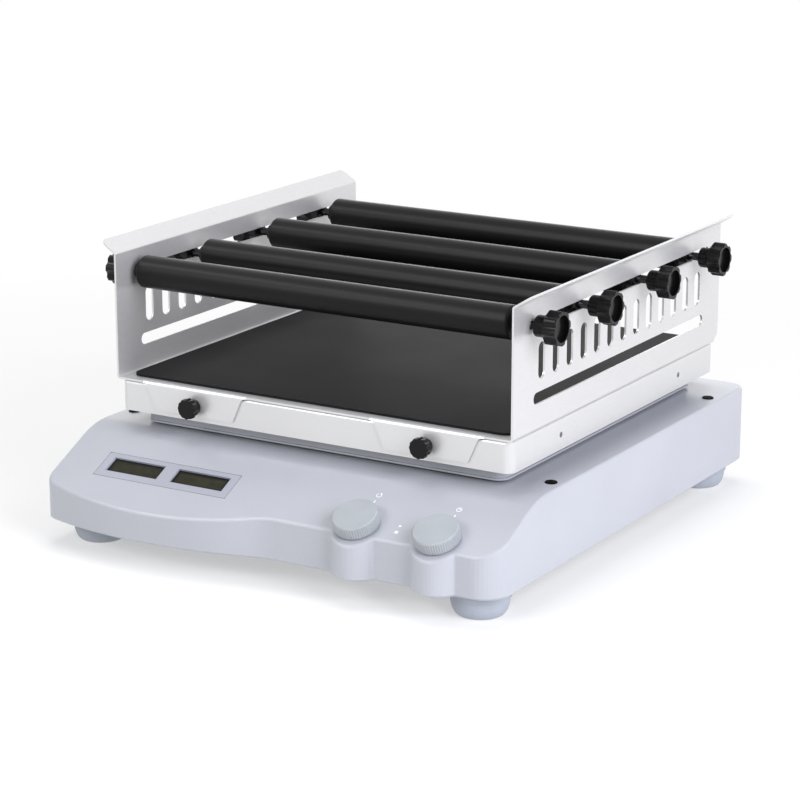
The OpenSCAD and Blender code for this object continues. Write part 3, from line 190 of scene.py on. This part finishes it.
# Function signs
# Plain signs are printed on the panel: a turning arrow over the speed knob and a clock over the
# time knob. A start triangle and a stop square stand beside the time knob, which is also a button.
SIGN_RISE = 31
SIGN_R = 2.1
SIGN_W = 0.5
ARROW_START = 130
ARROW_END = 410
ARROW_STEPS = 24
ARROW_HEAD = ((-0.9, -0.1), (0.9, -0.1), (0, 1.3))
CLOCK_STEPS = 48
HAND_W = 0.4
MINUTE_HAND = 1.3
HOUR_HAND = 1.1
START_RISE = 6.2
START_SIDE = -32.6
START_SIZE = 2.4


def arc(mesh, radius, width, start, end, steps, place):
    """Adds an arc of print between two angles in degrees, by spinning its upright section."""
    turn = place @ Matrix.Rotation(math.radians(start), 4, "Z")
    inner = radius - width
    section = [mesh.verts.new(turn @ Vector((r, 0, z))) for r, z in (
        (inner, 0), (radius, 0), (radius, PRINT_T), (inner, PRINT_T))]
    sides = [mesh.edges.new((section[i - 1], section[i])) for i in range(len(section))]
    whole = end - start == 360
    bmesh.ops.spin(mesh, geom=section + sides, cent=place.translation,
                   axis=place.to_3x3() @ Vector((0, 0, 1)), angle=math.radians(end - start),
                   steps=steps, use_merge=whole)
    if not whole:
        bmesh.ops.holes_fill(mesh, edges=[edge for edge in mesh.edges if edge.is_boundary])


def triangle(mesh, corners, place):
    """Adds a triangle of print with the given corners."""
    flat = mesh.faces.new([mesh.verts.new(place @ Vector((x, y, 0))) for x, y in corners])
    grown = bmesh.ops.extrude_face_region(mesh, geom=[flat])["geom"]
    top = [made for made in grown if isinstance(made, bmesh.types.BMVert)]
    bmesh.ops.translate(mesh, vec=place.to_3x3() @ Vector((0, 0, PRINT_T)), verts=top)


mesh = bmesh.new()
place = on_panel(SPEED_X, KNOB_Y, SIGN_RISE)
arc(mesh, SIGN_R, SIGN_W, ARROW_START, ARROW_END, ARROW_STEPS, place)
tip = (Matrix.Rotation(math.radians(ARROW_END), 4, "Z")
       @ Matrix.Translation((SIGN_R - SIGN_W / 2, 0, 0)))
triangle(mesh, ARROW_HEAD, place @ tip)

place = on_panel(TIME_X, KNOB_Y, SIGN_RISE)
arc(mesh, SIGN_R, SIGN_W, 0, 360, CLOCK_STEPS, place)
bar(mesh, (-HAND_W / 2, 0, 0), (HAND_W / 2, MINUTE_HAND, PRINT_T), place)
bar(mesh, (HAND_W / 2, 0, 0), (HOUR_HAND, HAND_W, PRINT_T), place)

half = START_SIZE / 2
triangle(mesh, ((-half, -half), (half, 0), (-half, half)),
         on_panel(TIME_X, KNOB_Y, START_RISE, START_SIDE))
bar(mesh, (-half, -half, 0), (half, half, PRINT_T), on_panel(TIME_X, KNOB_Y, 0, START_SIDE))
function_marks = shape("function_marks", mesh, white_ink)
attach(function_marks, "base")

# Mains inlet and rocker switch
# Both snap into the rear wall and are moulded in black nylon. A bar is printed on the half of the
# rocker that switches on, and a ring on the half that switches off.
# Polished moulds give such nylon a deep, clear gloss over a colour that is nearly black.
black_nylon = surface("black_nylon", "070708", "0B0B0C", rough=(0.26, 0.36), cloud_mm=12,
                      grain_mm=0.4, relief_mm=0.01, specular=0.12,
                      coat=0.4, coat_rough=0.1, coat_ior=1.3)
dress(black_nylon, "mains_inlet", "power_switch_frame", "power_switch_rocker")

# Each half of the rocker is a flat face, given by its ends in plan.
ROCKER_ON = ((84.77, 207.94), (91.53, 205.86))
ROCKER_OFF = ((91.53, 205.86), (98.6, 205.75))
ROCKER_Z = 47.5
SWITCH_LINE = 0.6
SWITCH_BAR = 3.2
SWITCH_RING_R = 1.6


def on_half(ends):
    """The place of the middle of one half of the rocker, with its Z pointing to the rear."""
    (x1, y1), (x2, y2) = ends
    turn = math.pi + math.atan2(y2 - y1, x2 - x1)
    return (Matrix.Translation(((x1 + x2) / 2, (y1 + y2) / 2, ROCKER_Z))
            @ Matrix.Rotation(turn, 4, "Z") @ Matrix.Rotation(math.pi / 2, 4, "X"))


mesh = bmesh.new()
bar(mesh, (-SWITCH_LINE / 2, -SWITCH_BAR / 2, 0), (SWITCH_LINE / 2, SWITCH_BAR / 2, PRINT_T),
    on_half(ROCKER_ON))
arc(mesh, SWITCH_RING_R, SWITCH_LINE, 0, 360, CLOCK_STEPS, on_half(ROCKER_OFF))
switch_marks = shape("switch_marks", mesh, white_ink)
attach(switch_marks, "power_rocker")

# Display
# A frame of darker ABS holds two clear windows over the liquid crystal modules. Each module has a
# black mask round its panel, and a thin black strip in the gap between the frame and the base is
# painted shade.
# The frame is moulded like the base, with a finer and smoother texture.
frame_abs = surface("frame_abs", "9FA1AC", "A8AAB5", rough=(0.34, 0.42), cloud_mm=50,
                    grain_mm=0.5, relief_mm=0.008)
# Switched off, the liquid crystal shows through the clear sheet as a dark, uneven olive.
display_window = surface("display_window", "26251B", "343326", rough=(0.12, 0.2), cloud_mm=22,
                         grain_mm=6.0, relief_mm=0.001, specular=0.1)
# Belts are dull black rubber. The same black, laid in the gap round the frame, is painted shade that
# reads as a fine dark line.
black_rubber = surface("black_rubber", "19191A", "232324", rough=(0.6, 0.7), cloud_mm=10,
                       grain_mm=0.5, relief_mm=0.03)
dress(frame_abs, "lcd_bezel")
dress(display_window, "lcd_windows")
dress(black_nylon, "display_modules")

DISPLAY_X = -93.9
DISPLAY_Y = -171.5
WINDOW_W = 44.7
WINDOW_H = 14.1
WINDOW_PITCH = 56.2
WINDOW_RISE = 1
WINDOW_DROP = 1.6
MASK_SIDE = 2.7
MASK_END = 2.4
MASK_T = 0.1
FRAME_W = 114
FRAME_H = 24.2
# Painted shade in the gap round the frame: the black strip's width, depth and drop below the panel.
GAP_SHADE_W = 0.3
GAP_SHADE_T = 0.6
GAP_SHADE_DROP = 0.05


def border(mesh, width, height, side, end, low, high, place):
    """Adds four bars inside an oblong, two of them side wide and two of them end high."""
    w, h = width / 2, height / 2
    a, b = w - side, h - end
    for (x1, y1), (x2, y2) in (
        ((-w, -h), (w, -b)), ((-w, b), (w, h)), ((-w, -b), (-a, b)), ((a, -b), (w, b)),
    ):
        bar(mesh, (x1, y1, low), (x2, y2, high), place)


mesh = bmesh.new()
for side in (-1, 1):
    border(mesh, WINDOW_W, WINDOW_H, MASK_SIDE, MASK_END, -WINDOW_DROP, MASK_T - WINDOW_DROP,
           on_panel(DISPLAY_X, DISPLAY_Y, WINDOW_RISE, side * WINDOW_PITCH / 2))
display_masks = shape("display_masks", mesh, black_nylon)
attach(display_masks, "base")

# A black strip in the gap round the frame paints the gap's shade as a dark line.
mesh = bmesh.new()
border(mesh, FRAME_W + 2 * GAP_SHADE_W, FRAME_H + 2 * GAP_SHADE_W, GAP_SHADE_W, GAP_SHADE_W, -GAP_SHADE_DROP - GAP_SHADE_T,
       -GAP_SHADE_DROP, on_panel(DISPLAY_X, DISPLAY_Y))
display_gap_shade = shape("display_gap_shade", mesh, black_rubber)
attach(display_gap_shade, "base")

# Control board and power supply
# Both are glass-fibre boards under a green solder mask, screwed to posts inside the base.
# The lacquer is clear and smooth, and its green clouds a little over the copper.
circuit_board = surface("circuit_board", "1E5A38", "276843", rough=(0.3, 0.4), cloud_mm=6,
                        grain_mm=0.8, relief_mm=0.01, coat=0.3)
dress(circuit_board, "control_board", "power_supply")

# Drive
# A motor turns the crankshaft through a belt. Four guide cranks with the same throw keep the
# platform square, and a counterweight balances it.
# The motor's can and the counterweight are iron under a thin, slightly rippled paint.
painted_iron = surface("painted_iron", "45474A", "505356", rough=(0.4, 0.52), cloud_mm=20,
                       grain_mm=0.8, relief_mm=0.03)
# Cast aluminium keeps the sand's grain, just under a millimetre, and shines only softly.
cast_aluminium = surface("cast_aluminium", "A8AAAE", "B8BABD", rough=(0.42, 0.55), cloud_mm=25,
                         grain_mm=0.8, relief_mm=0.04, metallic=0.9)
dress(painted_iron, "motor", "counterweight")
dress(cast_aluminium, "motor_pulley", "driven_pulley", "main_bearing_housing",
      "guide_bearing_housings", "table_plate")
dress(black_rubber, "drive_belt")
dress(plated_steel, "main_bearings", "crankshaft", "table_bearing", "platform_screws",
      *(f"guide_crank_{i}" for i in range(1, 5)))

# Platform and carrier
# The platform is folded from stainless sheet, and the carrier with its slotted side walls is laser
# cut, bent and screwed onto it.
# Fine rolling marks run along Y. They are drawn 0.5 mm apart and 16 times as long, which draws the
# light into a satin sheen. The metal is mixed with a pale grey, because it looks nearly white.
satin_stainless = surface("satin_stainless", "D2D2D2", "DADADA", rough=(0.32, 0.38), cloud_mm=120,
                          grain_mm=0.5, relief_mm=0.002, stretch=(1, 0.06, 1), metallic=0.55)
dress(satin_stainless, "platform", "carrier")

# Rubber mat
# A sheet of black rubber lies loose on the carrier's floor and keeps vessels from sliding.
# Calendered rubber is quite matte, with a faint bloom in large patches.
mat_rubber = surface("mat_rubber", "161617", "1C1C1D", rough=(0.54, 0.62), cloud_mm=70,
                     grain_mm=0.7, relief_mm=0.03, specular=0.08)
dress(mat_rubber, "rubber_mat")

# Clamp rollers
# Four foam rubber sleeves on threaded rods lie across the carrier and press the vessels.
# The foam's closed skin has a broad, faint shine. Its cells are drawn at 0.5 mm.
foam_rubber = surface("foam_rubber", "0A0A0B", "0F0F10", rough=(0.42, 0.5), cloud_mm=40,
                      grain_mm=0.5, relief_mm=0.01, specular=0.1,
                      coat=0.7, coat_rough=0.3, coat_ior=1.2)
# The rods and nuts are blackened in an oxide bath, which leaves a dark, oily metal.
blackened_steel = surface("blackened_steel", "2E2F31", "3A3B3D", rough=(0.24, 0.34), cloud_mm=8,
                          grain_mm=0.2, relief_mm=0.006, metallic=0.9)
dress(foam_rubber, *(f"roller_{i}_sleeve" for i in range(1, 5)))
dress(blackened_steel, *(f"roller_{i}_axle" for i in range(1, 5)))

# Star knobs and thumb screws
# A star knob of black nylon clamps each end of each rod, and four thumb screws of the same nylon
# hold the platform's skirt.
dress(black_nylon, *(f"star_knob_{side}_{i}" for side in ("left", "right") for i in range(1, 5)),
      *(f"thumb_screw_{end}_{side}" for end in ("front", "rear") for side in ("left", "right")))

# Floor and surround
# A pale matte floor glows: next to the object it glows weakly, which is painted light that lightens
# the object's shadow, and further out it fades into a white surround. The camera, mirrors and glass
# see the surround white, and the object is lit by a weaker one.
FLOOR_HALF = 6000
FADE_START = 0.3
FADE_END = 0.9
# The floor glows this much even next to the object, as painted light that lightens its shadow.
FADE_LEAST = 0.4
FILL = 0.35
floor_paint = surface("floor_paint", "F4F4F4", "F8F8F8", rough=(0.8, 0.9), cloud_mm=400,
                      grain_mm=5.0, relief_mm=0.01)
tree = floor_paint.node_tree
place = add(tree, "ShaderNodeTexCoord").outputs["Object"]
reach = add(tree, "ShaderNodeVectorMath", {0: place}, operation="LENGTH").outputs["Value"]
fade = add(tree, "ShaderNodeMapRange", {
    "Value": reach, "From Min": FADE_START, "From Max": FADE_END, "To Min": FADE_LEAST}, clamp=True)
glow = add(tree, "ShaderNodeEmission", {"Color": (1, 1, 1, 1), "Strength": 1.0})
shown = add(tree, "ShaderNodeMixShader", {
    0: fade.outputs["Result"], 1: tree.nodes["Principled BSDF"].outputs[0], 2: glow.outputs[0]})
tree.links.new(shown.outputs[0], tree.nodes["Material Output"].inputs["Surface"])
mesh = bmesh.new()
bmesh.ops.create_grid(mesh, x_segments=1, y_segments=1, size=FLOOR_HALF)
shape("floor", mesh, floor_paint)

world = bpy.data.worlds.new("studio")
bpy.context.scene.world = world
world.use_nodes = True
tree = world.node_tree
tree.nodes.clear()
rays = add(tree, "ShaderNodeLightPath").outputs
direct = add(tree, "ShaderNodeMath", {
    0: rays["Is Camera Ray"], 1: rays["Is Transmission Ray"]}, operation="MAXIMUM")
seen = add(tree, "ShaderNodeMath", {
    0: direct.outputs[0], 1: rays["Is Glossy Ray"]}, operation="MAXIMUM")
soft = add(tree, "ShaderNodeBackground", {"Color": srgb("F6F6F9"), "Strength": FILL})
white = add(tree, "ShaderNodeBackground", {"Color": (1, 1, 1, 1), "Strength": 1.0})
mixed = add(tree, "ShaderNodeMixShader", {0: seen.outputs[0], 1: soft.outputs[0], 2: white.outputs[0]})
add(tree, "ShaderNodeOutputWorld", {"Surface": mixed.outputs[0]})


# Lights
# A large soft box on the right gives most of the light, with weaker ones above and in front. Two
# narrow ones show only as reflections, along the front edges and the rollers.
LIT = Vector((0, 0, 0.1))


def softbox(name, place, size, power, colour="FFFFFF", diffuse=True, glossy=True):
    """An oblong light at a place in metres, turned towards the point that is lit."""
    lamp = bpy.data.lights.new(name, "AREA")
    lamp.shape = "RECTANGLE"
    lamp.size, lamp.size_y = size
    lamp.energy = power
    lamp.color = srgb(colour)[:3]
    made = bpy.data.objects.new(name, lamp)
    made.location = place
    made.rotation_euler = (LIT - Vector(place)).to_track_quat("-Z", "Y").to_euler()
    made.visible_diffuse = diffuse
    made.visible_glossy = glossy
    bpy.context.scene.collection.objects.link(made)


softbox("right_light", (1.5, -0.5, 0.8), (1.2, 1.2), 33, "F6F6FF", glossy=False)
softbox("top_light", (-0.2, 0.3, 1.7), (1.0, 1.0), 13.5, glossy=False)
softbox("front_light", (-0.5, -1.6, 1.05), (1.2, 0.6), 12)
softbox("edge_light", (-1.0, -0.9, 1.5), (1.6, 0.25), 9, diffuse=False)
softbox("back_light", (-0.5, 1.9, 0.55), (2.8, 0.45), 6, diffuse=False)

# Camera
# The photograph's view: 31 degrees to the right of the front and 15 degrees up, from two metres.
CAM_TARGET = Vector((-14.4, 17.8, 80.5)) * MM
CAM_AZIMUTH = math.radians(31.0)
CAM_ELEVATION = math.radians(15.37)
CAM_DISTANCE = 2.0186
SENSOR_W = 36
FOCAL_LENGTH = 120.86
CLIP_NEAR = 0.05
CLIP_FAR = 20
away = Vector((math.sin(CAM_AZIMUTH) * math.cos(CAM_ELEVATION),
               -math.cos(CAM_AZIMUTH) * math.cos(CAM_ELEVATION), math.sin(CAM_ELEVATION)))
lens = bpy.data.cameras.new("camera")
lens.sensor_width = SENSOR_W
lens.lens = FOCAL_LENGTH
lens.clip_start = CLIP_NEAR
lens.clip_end = CLIP_FAR
camera = bpy.data.objects.new("camera", lens)
camera.location = CAM_TARGET + away * CAM_DISTANCE
camera.rotation_euler = away.to_track_quat("Z", "Y").to_euler()
bpy.context.scene.collection.objects.link(camera)
bpy.context.scene.camera = camera
bpy.context.scene.view_settings.view_transform = "Standard"
